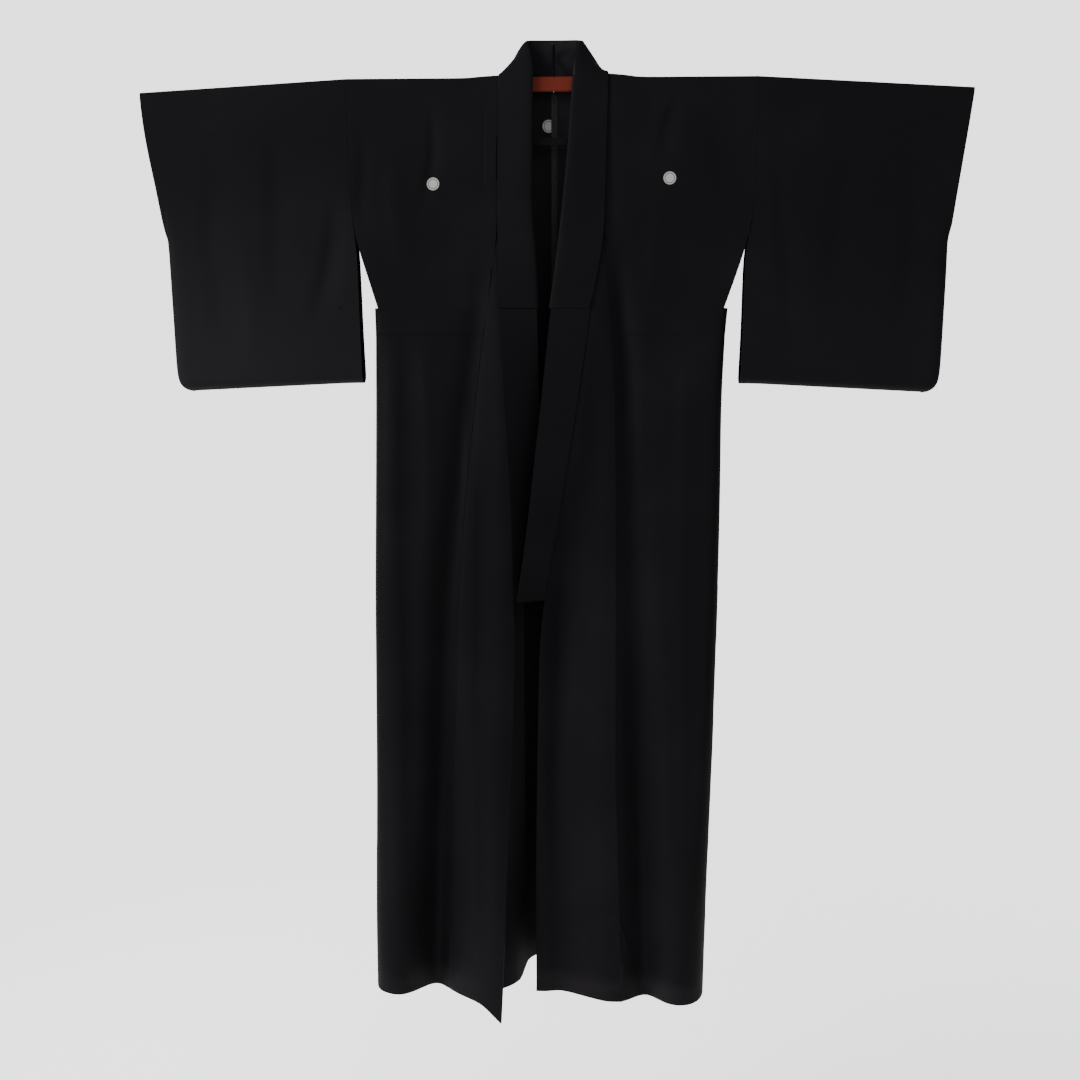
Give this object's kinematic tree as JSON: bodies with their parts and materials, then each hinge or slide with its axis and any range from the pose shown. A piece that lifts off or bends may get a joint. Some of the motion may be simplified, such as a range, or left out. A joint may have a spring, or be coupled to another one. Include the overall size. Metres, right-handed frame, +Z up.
{
  "type": "mourning kimono on a hanger",
  "caption": "Black unlined mourning kimono with long hanging sleeves and fronts ajar, on a straight kimono hanger with a wire hook.",
  "frame": {"origin": "under the crown of the hook, where a rail carries the hanger", "axes": "+Z up, +X to the right as seen from the front (the wearer's left), +Y away from the viewer towards the wall"},
  "size_m": [1.3738, 0.1962, 1.6729],
  "materials": {
    "silk": "black semi-sheer silk, fine matte weave",
    "collar_silk": "the same black silk, doubled",
    "tape": "black silk tape",
    "hanger_red": "brick-red plastic, satin",
    "hook_wire": "black lacquered wire",
    "hanger_dark": "dark grey plastic"
  },
  "bodies": {
    "root": {"body_right": "silk", "body_left": "silk", "okumi_right": "silk", "okumi_left": "silk", "sleeve_right": "silk", "sleeve_left": "silk", "collar": "collar_silk", "over_collar": "collar_silk", "back_tape": "tape", "hanger_bar": "hanger_red", "hanger_arm_right": "hanger_red", "hanger_arm_left": "hanger_red", "hook": "hook_wire", "lower_bar": "hanger_dark", "lower_bar_link_right": "hanger_dark", "lower_bar_link_left": "hanger_dark"}
  },
  "joints": []
}
